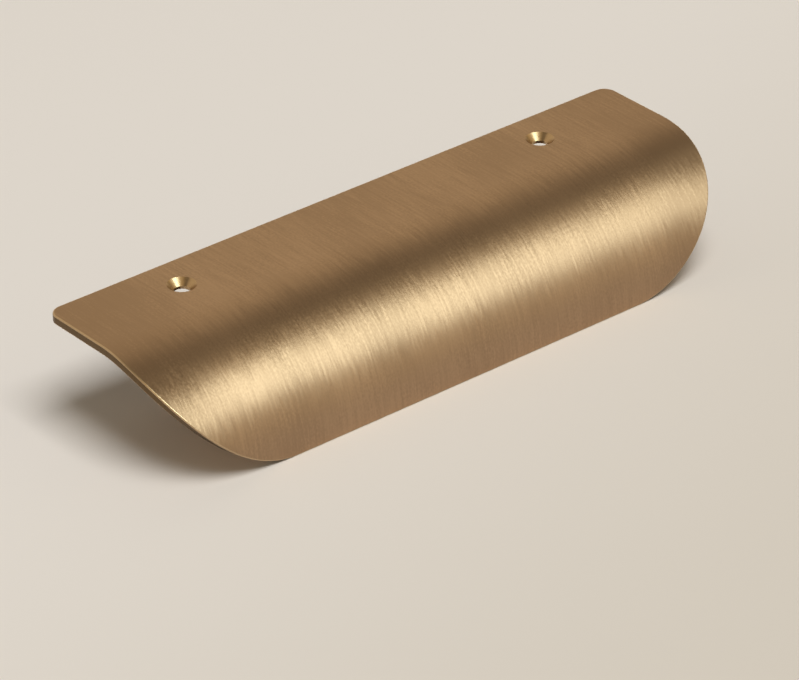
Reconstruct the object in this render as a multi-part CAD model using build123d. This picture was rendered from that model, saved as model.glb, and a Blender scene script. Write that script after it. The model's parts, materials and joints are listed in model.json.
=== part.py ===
from build123d import *
import math
import os

# Shell pull: a quarter-round finger grip and a flat mounting flange, bent from one brass sheet.
# Millimetres. X runs along the pull, -Y faces the hand and +Z is up.
# The origin is on the underside of the flange, midway between the two screw holes.

# Driving dimensions
pull_length = 150.0
sheet_thickness = 2.0
grip_radius = 25.0  # outside of the bend
bend_angle = 90.0  # from the flange round to the lip
corner_run = 29.0  # lip corner, along the length
corner_rise = 32.0  # lip corner, up the slanted face of the grip
flange_depth = 18.0  # flat part, behind the bend
flange_corner_radius = 3.0
screw_end_distance = 27.0  # from an end of the pull to the nearer screw
screw_hole_diameter = 3.4
screw_head_diameter = 6.2  # mouth of the countersink
countersink_angle = 90.0
edge_break = 0.3  # small round on every edge of the cut sheet
sharp_angle = 30.0  # faces that meet at more than this make an edge to break

# Places that follow from the driving dimensions
half_length = pull_length / 2
flange_front = -flange_depth / 2
flange_back = flange_depth / 2
bend_axis_z = sheet_thickness - grip_radius
lip_y = flange_front - grip_radius * math.sin(math.radians(bend_angle))
lip_z = bend_axis_z + grip_radius * math.cos(math.radians(bend_angle))
half_bend = math.radians(bend_angle / 2)
screw_spacing = pull_length - 2 * screw_end_distance
tool_reach = pull_length + grip_radius + flange_depth  # longer than any cut


def side_profile():
    """Top line of the sheet seen from its end: the flange, then the round of the grip."""
    with BuildLine(Plane.YZ) as profile:
        Line((flange_back, sheet_thickness), (flange_front, sheet_thickness))
        CenterArc((flange_front, bend_axis_z), grip_radius, start_angle=90, arc_size=bend_angle)
    return profile.wire()


def front_outline():
    """Outline of the pull seen square to the middle of the bend: straight ends, elliptical lip corners."""
    slanted_face = Plane(
        origin=(0, lip_y, lip_z),
        x_dir=(1, 0, 0),
        z_dir=(0, -math.sin(half_bend), math.cos(half_bend)),
    )
    corner_x = half_length - corner_run
    with BuildSketch(slanted_face) as outline:
        with BuildLine():
            Polyline(
                (-half_length, corner_rise),
                (-half_length, tool_reach),
                (half_length, tool_reach),
                (half_length, corner_rise),
            )
            Line((-corner_x, 0), (corner_x, 0))
            for center_x, start in ((-corner_x, 180), (corner_x, 270)):
                EllipticalCenterArc(
                    (center_x, corner_rise), corner_run, corner_rise, start_angle=start, arc_size=90
                )
        make_face()
    return outline.sketch


def bent_sheet():
    """The top skin, trimmed to its outline and thickened inwards, so that its edges stand square to it."""
    strip = Shell.extrude(side_profile(), (tool_reach, 0, 0)).moved(Location((-tool_reach / 2, 0, 0)))
    trim = extrude(front_outline(), tool_reach, both=True)
    skin = Shell((strip & trim).faces())
    return Solid.thicken(skin, sheet_thickness)


def round_flange_corners(sheet):
    """Rounds the two back corners of the flange."""
    back_corners = sheet.edges().filter_by(Axis.Z).group_by(Axis.Y)[-1]
    return sheet.fillet(flange_corner_radius, back_corners)


def is_sharp(edge, sheet):
    """True where the two faces beside an edge of the sheet meet at an angle."""
    first, second = [face for face in sheet.faces() if edge in face.edges()]
    middle = edge @ 0.5
    return first.normal_at(middle).get_angle(second.normal_at(middle)) > sharp_angle


def break_edges(sheet):
    """Rounds every edge of the cut sheet a little, inside and out."""
    return sheet.fillet(edge_break, [edge for edge in sheet.edges() if is_sharp(edge, sheet)])


def shell_pull():
    """The finished pull, with its two countersunk screw holes in the flange."""
    sheet = break_edges(round_flange_corners(bent_sheet()))
    with BuildPart() as pull:
        add(sheet)
        with Locations((0, 0, sheet_thickness)):
            with GridLocations(screw_spacing, 0, 2, 1):
                CounterSinkHole(
                    screw_hole_diameter / 2,
                    screw_head_diameter / 2,
                    counter_sink_angle=countersink_angle,
                )
    return pull.part


os.makedirs("parts", exist_ok=True)
export_step(shell_pull(), "parts/shell_pull.step")
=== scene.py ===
"""Looks of a quarter-round shell pull, cut and bent from one sheet of brushed brass.

Metres. X runs along the pull, -Y faces the hand and +Z is up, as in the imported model.
The sheet is modelled flat, standing in the XZ plane with its show face towards -Y.
It is then bent, laid down and drilled.
"""

import json
import logging
import math
from collections.abc import Callable
from dataclasses import dataclass, field
from enum import Enum
from typing import ClassVar

import bpy
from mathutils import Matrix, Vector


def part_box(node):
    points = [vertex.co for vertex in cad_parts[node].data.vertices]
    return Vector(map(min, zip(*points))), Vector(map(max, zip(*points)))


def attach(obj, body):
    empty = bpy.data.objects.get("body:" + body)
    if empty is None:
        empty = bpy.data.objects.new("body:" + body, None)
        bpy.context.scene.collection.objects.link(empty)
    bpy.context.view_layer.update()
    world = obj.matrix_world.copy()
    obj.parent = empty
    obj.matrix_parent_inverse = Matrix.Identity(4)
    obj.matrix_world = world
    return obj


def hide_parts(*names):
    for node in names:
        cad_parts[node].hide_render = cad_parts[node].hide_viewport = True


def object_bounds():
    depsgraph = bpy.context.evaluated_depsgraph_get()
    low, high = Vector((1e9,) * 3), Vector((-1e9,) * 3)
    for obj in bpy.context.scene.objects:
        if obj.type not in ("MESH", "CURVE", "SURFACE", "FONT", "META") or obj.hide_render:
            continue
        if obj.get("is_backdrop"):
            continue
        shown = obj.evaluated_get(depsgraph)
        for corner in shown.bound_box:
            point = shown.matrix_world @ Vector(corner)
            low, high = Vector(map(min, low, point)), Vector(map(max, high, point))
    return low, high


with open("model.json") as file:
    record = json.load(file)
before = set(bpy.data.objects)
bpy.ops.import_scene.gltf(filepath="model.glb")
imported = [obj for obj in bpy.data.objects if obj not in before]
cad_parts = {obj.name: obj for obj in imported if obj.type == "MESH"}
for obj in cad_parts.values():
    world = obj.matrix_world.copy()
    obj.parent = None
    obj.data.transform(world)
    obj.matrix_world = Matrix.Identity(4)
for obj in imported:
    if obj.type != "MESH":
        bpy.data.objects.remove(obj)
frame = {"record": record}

NODE = "shell_pull"
BODY = "root"
FLAT_SHEET_UV = "flat_sheet"
MM = 0.001
QUARTER_TURN = math.pi / 2

Colour = tuple[float, float, float]
Point = tuple[float, float, float]
Socket = bpy.types.NodeSocket
Input = float | Colour | Point | Socket
Inputs = dict[str | int, Input]

log = logging.getLogger(NODE)


class Finish(Enum):
    """Finishes of the pull, numbered as its material slots."""

    BRUSHED_FACE = 0
    CUT_EDGE = 1
    BROKEN_EDGE = 2
    COUNTERSINK = 3


class LampUse(Enum):
    """What a lamp is hung for."""

    GLEAM = "reflections in the brass"
    WASH = "light and shadow on the floor"


@dataclass(frozen=True)
class Fade:
    """A stretch over which something comes in smoothly."""

    start: float
    stop: float


class ShaderBench:
    """Adds and joins the nodes of one material or world."""

    MIDDLE: ClassVar[float] = 0.5
    MIX_FACTOR: ClassVar[int] = 0
    MIX_FIRST: ClassVar[int] = 6
    MIX_SECOND: ClassVar[int] = 7
    MIX_RESULT: ClassVar[int] = 2

    def __init__(self, owner: bpy.types.Material | bpy.types.World) -> None:
        """Starts from an empty tree.

        Args:
            owner: The material or world that the nodes are for.
        """
        owner.use_nodes = True
        self.tree = owner.node_tree
        self.tree.nodes.clear()

    def add(self, kind: str, inputs: Inputs | None = None, **settings: object) -> bpy.types.Node:
        """Adds one node.

        Args:
            kind: The node's type name.
            inputs: Values or sockets for its inputs, by name or place.
            settings: Its other properties.

        Returns:
            The new node.
        """
        node = self.tree.nodes.new(kind)
        for name, value in settings.items():
            setattr(node, name, value)
        for key, value in (inputs or {}).items():
            self.feed(node.inputs[key], value)
        return node

    def feed(self, socket: Socket, value: Input) -> None:
        """Links a socket to another one, or sets its value.

        Args:
            socket: The input to feed.
            value: A socket, a number, a colour or a vector.
        """
        if isinstance(value, Socket):
            self.tree.links.new(value, socket)
        elif socket.type == "RGBA":
            socket.default_value = (*value, 1.0)
        else:
            socket.default_value = value

    def math(self, operation: str, first: Input, second: Input = 0.0) -> Socket:
        """Result of one Math node."""
        return self.add("ShaderNodeMath", {0: first, 1: second}, operation=operation).outputs[0]

    def times(self, first: Input, second: Input) -> Socket:
        """Product of two values."""
        return self.math("MULTIPLY", first, second)

    def total(self, *parts: Input) -> Input:
        """Sum of several values.

        Args:
            parts: The sockets or numbers to add.

        Returns:
            The sum's socket, or the only part.
        """
        result = parts[0]
        for part in parts[1:]:
            result = self.math("ADD", result, part)
        return result

    def swing(self, noise: Socket, amount: float) -> Socket:
        """A noise of 0 to 1 turned into one that swings about zero, by the amount in all."""
        return self.times(self.math("SUBTRACT", noise, self.MIDDLE), amount)

    def slope(self, tilt: Input) -> Socket:
        """A tilt about zero turned into one channel of a normal map."""
        return self.math("ADD", self.times(tilt, self.MIDDLE), self.MIDDLE)

    def ramp(self, place: Socket, fade: Fade) -> Socket:
        """Smooth rise from zero to one, as the place runs over the fade."""
        limits = {"Value": place, "From Min": fade.start, "From Max": fade.stop}
        return self.add("ShaderNodeMapRange", limits, interpolation_type="SMOOTHSTEP").outputs[0]

    def blend(self, factor: Input, first: Input, second: Input, how: str = "MIX") -> Socket:
        """Mixes two colours.

        Args:
            factor: Share of the second colour.
            first: The first colour.
            second: The second colour.
            how: The way they are mixed.

        Returns:
            The mixed colour's socket.
        """
        mix = self.add(
            "ShaderNodeMix",
            {self.MIX_FACTOR: factor, self.MIX_FIRST: first, self.MIX_SECOND: second},
            data_type="RGBA",
            blend_type=how,
        )
        return mix.outputs[self.MIX_RESULT]

    def surface(self, kind: str, inputs: Inputs) -> None:
        """Makes a shader with these inputs the material's surface."""
        shader = self.add(kind, inputs)
        self.add("ShaderNodeOutputMaterial", {"Surface": shader.outputs[0]})


@dataclass(frozen=True)
class Grain:
    """One layer of brush marks on the flat sheet.

    Width and length are a mark's size across and along the brushing. Tone is how far the marks lighten and
    darken the brass, and lean and side are how far they tip its surface along and across the brushing.
    """

    width: float
    length: float
    detail: float = 2.0
    fine_share: float = 0.55
    shift: float = 0.0
    tone: float = 0.0
    lean: float = 0.0
    side: float = 0.0

    def noise(self, bench: ShaderBench, flat: Socket) -> Socket:
        """Adds the layer's noise.

        Args:
            bench: The material's nodes.
            flat: Place on the flat sheet, in metres.

        Returns:
            Socket of a value from 0 to 1.
        """
        place = bench.add(
            "ShaderNodeMapping",
            {
                "Vector": flat,
                "Location": (self.shift, self.shift, 0.0),
                "Scale": (1 / self.width, 1 / self.length, 1.0),
            },
        )
        texture = bench.add(
            "ShaderNodeTexNoise",
            {
                "Vector": place.outputs[0],
                "Scale": 1.0,
                "Detail": self.detail,
                "Roughness": self.fine_share,
            },
            noise_dimensions="2D",
        )
        return texture.outputs[0]


@dataclass(frozen=True)
class BrushedBrass:
    """Satin brass, brushed across the length of the sheet before it was bent.

    Fine marks are stronger in some patches, and at the corners of the lip. Towards its ends the sheet is
    rougher, and its colour is darkened in painted shade that dims the gleam there. A slight lean of the
    surface, which changes along the pull and grows at the corners of the lip, sets the gleam a little
    askew.
    """

    deep: Colour = (0.39, 0.262, 0.162)
    bright: Colour = (0.47, 0.318, 0.199)
    roughness: float = 0.50
    hairline_roughness: float = -0.07
    anisotropy: float = 0.78
    speckle: Grain = Grain(0.42 * MM, 0.6 * MM, detail=0, tone=0.9, lean=-0.028, side=-0.042)
    hairline: Grain = Grain(0.6 * MM, 11 * MM, detail=1, tone=1.05, side=-0.06)
    scratch: Grain = Grain(0.55 * MM, 4.5 * MM, detail=1, shift=3.7, lean=0.09)
    band: Grain = Grain(1.0 * MM, 6 * MM, shift=2.3, tone=0.6)
    streak: Grain = Grain(1.2 * MM, 7 * MM, shift=5.3, lean=0.02)
    cloud: Grain = Grain(18 * MM, 30 * MM, detail=0.5, shift=8.1, tone=1.4, lean=0.04)
    patch: Grain = Grain(6 * MM, 9 * MM, shift=6.9)
    patch_swing: float = 2.4
    lean_along: float = -0.24
    ends: Fade = Fade(50 * MM, 75 * MM)
    # Painted shade: the base colour darkens towards both ends so that the gleam fades there.
    ends_painted_shade: float = -0.6
    ends_roughness: float = 0.05
    corners_along: Fade = Fade(59 * MM, 70 * MM)
    corners_down: Fade = Fade(-11 * MM, -17 * MM)
    corners_lean: float = 0.06
    corners_marks: float = 0.7

    @property
    def fine(self) -> tuple[Grain, ...]:
        """Layers that are stronger in some patches than in others."""
        return self.speckle, self.hairline, self.scratch

    @property
    def broad(self) -> tuple[Grain, ...]:
        """Layers that are equally strong all over the sheet."""
        return self.band, self.streak, self.cloud

    def marks(
        self,
        bench: ShaderBench,
        noises: dict[Grain, Socket],
        strength: Input,
        amount: Callable[[Grain], float],
    ) -> Input:
        """Adds up one effect of all the layers.

        Args:
            bench: The material's nodes.
            noises: Noise of each layer.
            strength: How strong the fine layers are.
            amount: Gives a layer's amount of the effect.

        Returns:
            Socket of the sum, which swings about zero.
        """
        fine = [bench.swing(noises[grain], amount(grain)) for grain in self.fine if amount(grain)]
        broad = [bench.swing(noises[grain], amount(grain)) for grain in self.broad if amount(grain)]
        return bench.total(bench.times(bench.total(*fine), strength), *broad)

    def make(self) -> bpy.types.Material:
        """Makes the material.

        Returns:
            The material, on the flat sheet's own coordinates.
        """
        material = bpy.data.materials.new("brushed_brass")
        bench = ShaderBench(material)
        flat = bench.add("ShaderNodeUVMap", uv_map=FLAT_SHEET_UV).outputs[0]
        axes = bench.add("ShaderNodeSeparateXYZ", {0: flat}).outputs
        from_middle = bench.math("ABSOLUTE", axes["X"])
        ends = bench.ramp(from_middle, self.ends)
        corners = bench.times(
            bench.ramp(from_middle, self.corners_along), bench.ramp(axes["Y"], self.corners_down)
        )
        strength = bench.total(
            bench.swing(self.patch.noise(bench, flat), self.patch_swing),
            bench.times(corners, self.corners_marks),
            1.0,
        )
        noises = {grain: grain.noise(bench, flat) for grain in self.fine + self.broad}
        tone = bench.total(
            self.marks(bench, noises, strength, lambda grain: grain.tone),
            bench.times(ends, self.ends_painted_shade),
            bench.MIDDLE,
        )
        roughness = bench.total(
            bench.swing(noises[self.hairline], self.hairline_roughness),
            bench.times(ends, self.ends_roughness),
            self.roughness,
        )
        lean = bench.total(
            self.marks(bench, noises, strength, lambda grain: grain.lean),
            bench.times(axes["X"], self.lean_along),
            bench.times(corners, self.corners_lean),
        )
        side = self.marks(bench, noises, strength, lambda grain: grain.side)
        relief = bench.add(
            "ShaderNodeCombineColor", {"Red": bench.slope(side), "Green": bench.slope(lean), "Blue": 1.0}
        )
        normal = bench.add("ShaderNodeNormalMap", {"Color": relief.outputs[0]}, uv_map=FLAT_SHEET_UV)
        across = bench.add("ShaderNodeTangent", direction_type="UV_MAP", uv_map=FLAT_SHEET_UV)
        bench.surface(
            "ShaderNodeBsdfPrincipled",
            {
                "Base Color": bench.blend(tone, self.deep, self.bright),
                "Metallic": 1.0,
                "Roughness": roughness,
                "Anisotropic": self.anisotropy,
                "Tangent": across.outputs[0],
                "Normal": normal.outputs[0],
            },
        )
        return material


@dataclass(frozen=True)
class CutBrass:
    """Brass where the sheet was cut or drilled: finer, with marks in every direction."""

    name: str
    # Painted shade: these default colours, which the cut edges get, are far darker than the brass to stand
    # for the dark shade those edges reflect.
    deep: Colour = (0.115, 0.071, 0.032)
    bright: Colour = (0.165, 0.103, 0.047)
    roughness: float = 0.32
    roughness_swing: float = 0.12
    mark: float = 0.35 * MM
    detail: float = 3.0
    relief: float = 0.004 * MM

    def make(self) -> bpy.types.Material:
        """Makes the material.

        Returns:
            The material, on Object coordinates.
        """
        material = bpy.data.materials.new(self.name)
        bench = ShaderBench(material)
        place = bench.add("ShaderNodeTexCoord").outputs["Object"]
        texture = bench.add(
            "ShaderNodeTexNoise", {"Vector": place, "Scale": 1 / self.mark, "Detail": self.detail}
        )
        marks = texture.outputs[0]
        bump = bench.add("ShaderNodeBump", {"Height": marks, "Distance": self.relief})
        bench.surface(
            "ShaderNodeBsdfPrincipled",
            {
                "Base Color": bench.blend(marks, self.deep, self.bright),
                "Metallic": 1.0,
                "Roughness": bench.total(bench.swing(marks, self.roughness_swing), self.roughness),
                "Normal": bump.outputs[0],
            },
        )
        return material


@dataclass
class ShellPull:
    """The pull: a flat flange and a quarter-round grip with rounded lip corners, in one bent sheet."""

    FACE_ON: ClassVar[float] = 0.999
    EDGE_ON: ClassVar[float] = 0.001

    length: float
    thickness: float
    grip_radius: float
    flange_depth: float
    screw_spacing: float
    screw_hole_radius: float
    screw_head_radius: float = 3.1 * MM
    corner_run: float = 29 * MM
    corner_rise: float = 32 * MM
    flange_corner_radius: float = 3 * MM
    edge_break: float = 0.3 * MM
    corner_segments: int = 40
    flange_corner_segments: int = 8
    edge_segments: int = 3
    hole_segments: int = 64
    bend_rows: int = 60
    columns: int = 20
    sharp_angle: float = math.radians(60)
    smooth_angle: float = math.radians(40)
    brushed_face: BrushedBrass = BrushedBrass()
    # The cut edges' finish carries painted shade in its dark colours.
    cut_edge_painted_shade: CutBrass = CutBrass("cut_edge_painted_shade")
    broken_edge: CutBrass = CutBrass(
        "broken_edge",
        deep=(0.455, 0.328, 0.20),
        bright=(0.565, 0.413, 0.26),
        roughness=0.36,
        roughness_swing=0.03,
        relief=0.0004 * MM,
    )
    countersink: CutBrass = CutBrass("countersink", deep=(0.40, 0.27, 0.15), bright=(0.50, 0.35, 0.2))
    sheet: bpy.types.Object = field(init=False)

    @classmethod
    def from_frame(cls) -> "ShellPull":
        """Reads the pull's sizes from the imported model, whose origin is under the middle of the flange.

        Returns:
            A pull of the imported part's size.
        """
        low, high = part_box(NODE)
        screws = next(m for m in frame["record"]["mounts"] if m["name"] == "screw_holes")["dims"]
        return cls(
            length=high[0] - low[0],
            thickness=high[2],
            grip_radius=high[2] - low[2],
            flange_depth=2 * high[1],
            screw_spacing=screws["spacing_x_mm"] * MM,
            screw_hole_radius=screws["hole_r_mm"] * MM,
        )

    @property
    def bend_length(self) -> float:
        """Length of the show face round the bend."""
        return self.grip_radius * QUARTER_TURN

    @property
    def half_chord(self) -> float:
        """Half the height of the grip in the front view, which looks square at the middle of the bend."""
        return self.grip_radius * math.sin(QUARTER_TURN / 2)

    def build(self) -> bpy.types.Object:
        """Models and dresses the pull.

        Returns:
            The finished piece, in place of the CAD node.
        """
        self.cut_grip()
        self.draw_out_flange()
        self.thicken()
        self.score_rows()
        self.lay_out_flat()
        self.dress()
        self.bend()
        self.drill()
        self.smooth()
        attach(self.sheet, BODY)
        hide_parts(NODE)
        return self.sheet

    def edit(self, chosen: Callable[[bpy.types.MeshVertex], bool]) -> None:
        """Goes to edit mode on the sheet with some vertices selected.

        Args:
            chosen: Says of each vertex whether it is selected.
        """
        bpy.ops.object.mode_set(mode="EDIT")
        bpy.ops.mesh.select_mode(type="VERT")
        bpy.ops.mesh.select_all(action="DESELECT")
        bpy.ops.object.mode_set(mode="OBJECT")
        for vertex in self.sheet.data.vertices:
            vertex.select = chosen(vertex)
        bpy.ops.object.mode_set(mode="EDIT")

    def apply_modifier(self, kind: str, **settings: object) -> None:
        """Adds a modifier to the sheet and applies it.

        Args:
            kind: The modifier's type.
            settings: Its properties.
        """
        modifier = self.sheet.modifiers.new(kind.lower(), kind)
        for name, value in settings.items():
            setattr(modifier, name, value)
        bpy.ops.object.modifier_apply(modifier=modifier.name)

    def unrolled(self, up_from_lip: float) -> float:
        """Place on the flat sheet of a level of the front view.

        Args:
            up_from_lip: Height above the lip, up the slanted front view.

        Returns:
            Height on the flat sheet, with zero where the bend starts.
        """
        from_middle = math.asin((self.half_chord - up_from_lip) / self.grip_radius)
        return -self.grip_radius * (QUARTER_TURN / 2 + from_middle)

    def cut_grip(self) -> None:
        """Cuts the flat grip, with lip corners that are quarter ellipses in the front view."""
        # In units of a corner's run and rise, its quarter ellipse is a quarter circle.
        width = self.length / self.corner_run
        height = 2 * self.half_chord / self.corner_rise
        bpy.ops.object.select_all(action="DESELECT")
        bpy.ops.mesh.primitive_plane_add(size=1, rotation=(QUARTER_TURN, 0, 0))
        self.sheet = bpy.context.object
        self.sheet.name = "brushed_shell_pull"
        self.sheet.scale = (width, height, 1)
        self.sheet.location.z = height / 2
        bpy.ops.object.transform_apply(location=True, rotation=True, scale=True)
        self.edit(lambda vertex: vertex.co.z < height / 2)
        bpy.ops.mesh.bevel(offset=1, segments=self.corner_segments, affect="VERTICES")
        bpy.ops.object.mode_set(mode="OBJECT")
        self.sheet.scale = (self.corner_run, 1, self.corner_rise)
        bpy.ops.object.transform_apply(location=False, rotation=False, scale=True)
        for vertex in self.sheet.data.vertices:
            vertex.co.z = self.unrolled(vertex.co.z)

    def draw_out_flange(self) -> None:
        """Draws the back of the sheet out into the flange and rounds its two corners."""
        self.edit(lambda vertex: vertex.co.z > -self.edge_break)
        bpy.ops.transform.translate(value=(0, 0, self.flange_depth))
        bpy.ops.mesh.bevel(
            offset=self.flange_corner_radius, segments=self.flange_corner_segments, affect="VERTICES"
        )
        bpy.ops.object.mode_set(mode="OBJECT")

    def thicken(self) -> None:
        """Gives the sheet its thickness, behind the show face, and breaks its cut edges."""
        self.apply_modifier("SOLIDIFY", thickness=self.thickness, offset=-1)
        self.apply_modifier(
            "BEVEL",
            width=self.edge_break,
            segments=self.edge_segments,
            limit_method="ANGLE",
            angle_limit=self.sharp_angle,
        )

    def score_rows(self) -> None:
        """Cuts the faces into rows across the bend and columns along it, so that they can curve."""
        row = self.bend_length / self.bend_rows
        column = self.length / self.columns
        cuts = [((0, 0, -row * i), (0, 0, 1)) for i in range(self.bend_rows)]
        cuts += [((column * (i - self.columns / 2), 0, 0), (1, 0, 0)) for i in range(1, self.columns)]
        bpy.ops.object.mode_set(mode="EDIT")
        for place, normal in cuts:
            bpy.ops.mesh.select_all(action="SELECT")
            bpy.ops.mesh.bisect(plane_co=place, plane_no=normal)
        bpy.ops.object.mode_set(mode="OBJECT")

    def lay_out_flat(self) -> None:
        """Keeps the flat sheet's own coordinates, in metres, as a UV map for the brushing."""
        mesh = self.sheet.data
        layout = mesh.uv_layers.new(name=FLAT_SHEET_UV)
        for loop in mesh.loops:
            place = mesh.vertices[loop.vertex_index].co
            layout.data[loop.index].uv = (place.x, place.z)

    def finish_of(self, face: bpy.types.MeshPolygon) -> Finish:
        """Finish of one face of the flat sheet.

        Args:
            face: The face, which is known by how squarely it faces the front or back.

        Returns:
            The finish that it gets.
        """
        squareness = abs(face.normal.y)
        if squareness > self.FACE_ON:
            return Finish.BRUSHED_FACE
        if squareness < self.EDGE_ON:
            return Finish.CUT_EDGE
        return Finish.BROKEN_EDGE

    def dress(self) -> None:
        """Gives the two broad faces the brushed finish and the edges theirs."""
        finishes = {
            Finish.BRUSHED_FACE: self.brushed_face,
            Finish.CUT_EDGE: self.cut_edge_painted_shade,
            Finish.BROKEN_EDGE: self.broken_edge,
            Finish.COUNTERSINK: self.countersink,
        }
        mesh = self.sheet.data
        mesh.materials.clear()
        for finish in Finish:
            mesh.materials.append(finishes[finish].make())
        for face in mesh.polygons:
            face.material_index = self.finish_of(face).value

    def bend(self) -> None:
        """Bends the grip round and lays the flange flat on its seat."""
        whole = self.bend_length + self.flange_depth
        self.apply_modifier(
            "SIMPLE_DEFORM",
            deform_method="BEND",
            deform_axis="X",
            angle=QUARTER_TURN,
            limits=(0, self.bend_length / whole),
        )
        self.sheet.rotation_euler.x = -QUARTER_TURN
        self.sheet.location = (0, -self.flange_depth / 2, self.thickness)
        bpy.ops.object.transform_apply(location=True, rotation=True, scale=True)

    def drill(self) -> None:
        """Cuts the two countersunk screw holes."""
        for middle in (-self.screw_spacing / 2, self.screw_spacing / 2):
            bit = self.drill_bit(middle)
            bpy.ops.object.select_all(action="DESELECT")
            self.sheet.select_set(True)
            bpy.context.view_layer.objects.active = self.sheet
            self.apply_modifier("BOOLEAN", object=bit, operation="DIFFERENCE", solver="EXACT")
            bpy.data.objects.remove(bit)

    def drill_bit(self, middle: float) -> bpy.types.Object:
        """Models the bit for one hole: straight, then flaring by 45 degrees past the top of the flange.

        Args:
            middle: Place of the hole along the pull.

        Returns:
            The bit, which leaves the countersink's finish where it cuts.
        """
        sink = self.screw_head_radius - self.screw_hole_radius
        straight = 2 * self.thickness - sink
        flare = 2 * sink
        spread = (self.screw_hole_radius + flare) / self.screw_hole_radius
        bpy.ops.object.select_all(action="DESELECT")
        bpy.ops.mesh.primitive_circle_add(
            vertices=self.hole_segments,
            radius=self.screw_hole_radius,
            fill_type="NGON",
            location=(middle, 0, -self.thickness),
        )
        bit = bpy.context.object
        bpy.ops.object.transform_apply(location=True)
        bpy.ops.object.mode_set(mode="EDIT")
        bpy.ops.mesh.select_all(action="SELECT")
        for rise in (straight, flare):
            bpy.ops.mesh.extrude_region_move(TRANSFORM_OT_translate={"value": (0, 0, rise)})
        bpy.ops.transform.resize(value=(spread, spread, 1), center_override=(middle, 0, 0))
        bpy.ops.mesh.select_all(action="SELECT")
        bpy.ops.mesh.normals_make_consistent(inside=False)
        bpy.ops.object.mode_set(mode="OBJECT")
        for material in self.sheet.data.materials:
            bit.data.materials.append(material)
        for face in bit.data.polygons:
            face.material_index = Finish.COUNTERSINK.value
        return bit

    def smooth(self) -> None:
        """Smooths the round faces and keeps the flat ones flat."""
        bpy.ops.object.shade_smooth_by_angle(angle=self.smooth_angle)
        self.apply_modifier("WEIGHTED_NORMAL", keep_sharp=True)


@dataclass(frozen=True)
class Stand:
    """A place round the pull, by its turn to the right of the front, its height angle and its distance."""

    turn: float
    height: float
    distance: float

    def hold(self, thing: bpy.types.Object, aim: Point = (0.0, 0.0, 0.0)) -> None:
        """Puts a lamp or camera there, facing the pull.

        Args:
            thing: The lamp or camera.
            aim: The point that it faces, which the distance is measured from.
        """
        reach = self.distance * math.cos(self.height)
        thing.location = (
            aim[0] + reach * math.sin(self.turn),
            aim[1] - reach * math.cos(self.turn),
            aim[2] + self.distance * math.sin(self.height),
        )
        thing.rotation_euler = (QUARTER_TURN - self.height, 0, self.turn)
        bpy.context.scene.collection.objects.link(thing)


@dataclass(frozen=True)
class SoftLamp:
    """A wide soft lamp that points at the pull."""

    name: str
    stand: Stand
    size: tuple[float, float]
    radiance: float
    colour: Colour
    use: LampUse

    def hang(self) -> None:
        """Hangs the lamp."""
        light = bpy.data.lights.new(self.name, "AREA")
        light.shape = "RECTANGLE"
        light.size, light.size_y = self.size
        # A flat lamp's power is its radiance times its area, times pi.
        light.energy = self.radiance * math.pi * light.size * light.size_y
        light.color = self.colour
        lamp = bpy.data.objects.new(self.name, light)
        lamp.visible_camera = False
        lamp.visible_diffuse = self.use is LampUse.WASH
        lamp.visible_glossy = self.use is LampUse.GLEAM
        self.stand.hold(lamp)


@dataclass(frozen=True)
class Sky:
    """Surroundings like a long vault over the pull: pale at both sides, dark along the top.

    Its angles run over the pull, from the front at zero to the back at half a turn.
    """

    pale: Colour = (0.82, 0.71, 0.53)
    glow: Colour = (0.86, 0.67, 0.38)
    dark: Colour = (0.165, 0.138, 0.108)
    fill: Colour = (0.42, 0.455, 0.52)
    pale_to: float = math.radians(20)
    glow_at: float = math.radians(60)
    dark_from: float = math.radians(88)
    dark_to: float = math.radians(102)
    pale_from: float = math.radians(118)

    def paint(self) -> None:
        """Makes the world: at full strength where it shows, weaker and cooler as light on the floor."""
        world = bpy.data.worlds.new("sky")
        bpy.context.scene.world = world
        bench = ShaderBench(world)
        place = bench.add("ShaderNodeTexCoord").outputs["Generated"]
        axes = bench.add("ShaderNodeSeparateXYZ", {0: place}).outputs
        over = bench.math("ARCTAN2", axes["Z"], bench.times(axes["Y"], -1.0))
        vault = bench.add("ShaderNodeValToRGB", {0: bench.math("DIVIDE", over, math.pi)})
        vault.color_ramp.interpolation = "EASE"
        stops = vault.color_ramp.elements
        for angle, colour in (
            (self.pale_to, self.pale),
            (self.glow_at, self.glow),
            (self.dark_from, self.dark),
            (self.dark_to, self.dark),
            (self.pale_from, self.pale),
        ):
            stops.new(angle / math.pi).color = (*colour, 1.0)
        for end in (stops[0], stops[-1]):
            end.color = (*self.pale, 1.0)
        rays = bench.add("ShaderNodeLightPath").outputs
        shown = bench.math("MAXIMUM", rays["Is Camera Ray"], rays["Is Glossy Ray"])
        shown = bench.math("MAXIMUM", shown, rays["Is Transmission Ray"])
        unseen = bench.math("SUBTRACT", 1.0, shown)
        light = bench.blend(unseen, vault.outputs[0], self.fill, how="MULTIPLY")
        sky = bench.add("ShaderNodeBackground", {"Color": light})
        bench.add("ShaderNodeOutputWorld", {"Surface": sky.outputs[0]})


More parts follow.
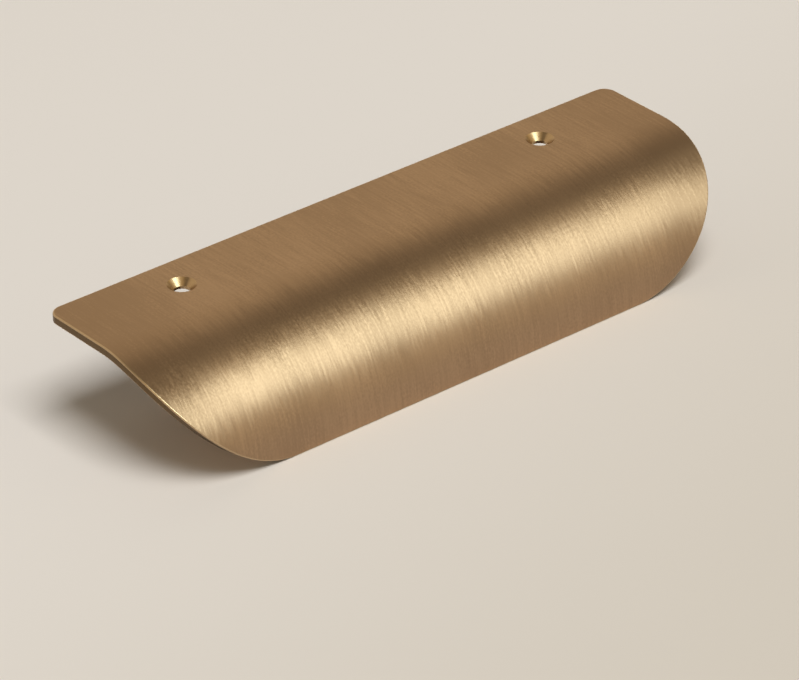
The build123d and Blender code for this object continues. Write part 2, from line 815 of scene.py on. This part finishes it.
@dataclass(frozen=True)
class Floor:
    """Plain pale floor, a little darker towards the front right."""

    far: Colour = (0.824, 0.764, 0.702)
    # Painted shade: the floor's colour fades from far to this darker one towards the front right, as if
    # less light fell there.
    near_painted_shade: Colour = (0.704, 0.639, 0.556)
    fade_way: Point = (0.27, -1.0, 0.0)
    fade: Fade = Fade(-0.05, 0.17)
    size: float = 8.0

    def lay(self, level: float) -> None:
        """Adds the floor.

        Args:
            level: Its height.
        """
        bpy.ops.object.select_all(action="DESELECT")
        bpy.ops.mesh.primitive_plane_add(size=self.size, location=(0, 0, level))
        floor = bpy.context.object
        floor.name = "floor"
        paint = bpy.data.materials.new("floor_paint")
        bench = ShaderBench(paint)
        place = bench.add("ShaderNodeTexCoord").outputs["Object"]
        onward = bench.add("ShaderNodeVectorMath", {0: place, 1: self.fade_way}, operation="DOT_PRODUCT")
        fade = bench.ramp(onward.outputs["Value"], self.fade)
        bench.surface("ShaderNodeBsdfDiffuse", {"Color": bench.blend(fade, self.far, self.near_painted_shade)})
        floor.data.materials.append(paint)
        floor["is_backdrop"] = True


@dataclass(frozen=True)
class View:
    """Camera that looks down on the pull from its front left."""

    stand: Stand = Stand(turn=math.radians(-40.27), height=math.radians(30.42), distance=0.9799)
    aim: Point = (-0.0062, -0.0181, -0.0187)
    lens: float = 215.6
    sensor: float = 36.0

    def place(self) -> None:
        """Places the camera."""
        data = bpy.data.cameras.new("view")
        data.lens = self.lens
        data.sensor_width = self.sensor
        data.sensor_fit = "HORIZONTAL"
        camera = bpy.data.objects.new("view", data)
        self.stand.hold(camera, self.aim)
        bpy.context.scene.camera = camera


@dataclass(frozen=True)
class Studio:
    """Pale floor, soft lamps, quiet surroundings and the camera."""

    gleam: SoftLamp = SoftLamp(
        "gleam_lamp",
        Stand(turn=math.radians(14), height=math.radians(41.3), distance=0.5),
        size=(0.30, 0.278),
        radiance=6.95,
        colour=(0.82, 1.05, 1.09),
        use=LampUse.GLEAM,
    )
    wash: SoftLamp = SoftLamp(
        "wash_lamp",
        Stand(turn=math.radians(-10), height=math.radians(71), distance=4.0),
        size=(2.2, 2.2),
        radiance=7.7,
        colour=(1.0, 1.03, 1.06),
        use=LampUse.WASH,
    )
    sky: Sky = Sky()
    floor: Floor = Floor()
    view: View = View()

    def build(self, floor_level: float) -> None:
        """Sets up the floor, lights and camera.

        Args:
            floor_level: Height of the floor.
        """
        self.floor.lay(floor_level)
        self.gleam.hang()
        self.wash.hang()
        self.sky.paint()
        self.view.place()
        bpy.context.scene.view_settings.view_transform = "Standard"


def main() -> None:
    """Builds the pull and its studio."""
    logging.basicConfig(level=logging.INFO, format="%(name)s: %(message)s")
    cad_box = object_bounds()
    pull = ShellPull.from_frame().build()
    log.info("%s with %d faces", pull.name, len(pull.data.polygons))
    Studio().build(floor_level=cad_box[0][2])
    log.info("studio ready")


if __name__ == "__main__":
    main()
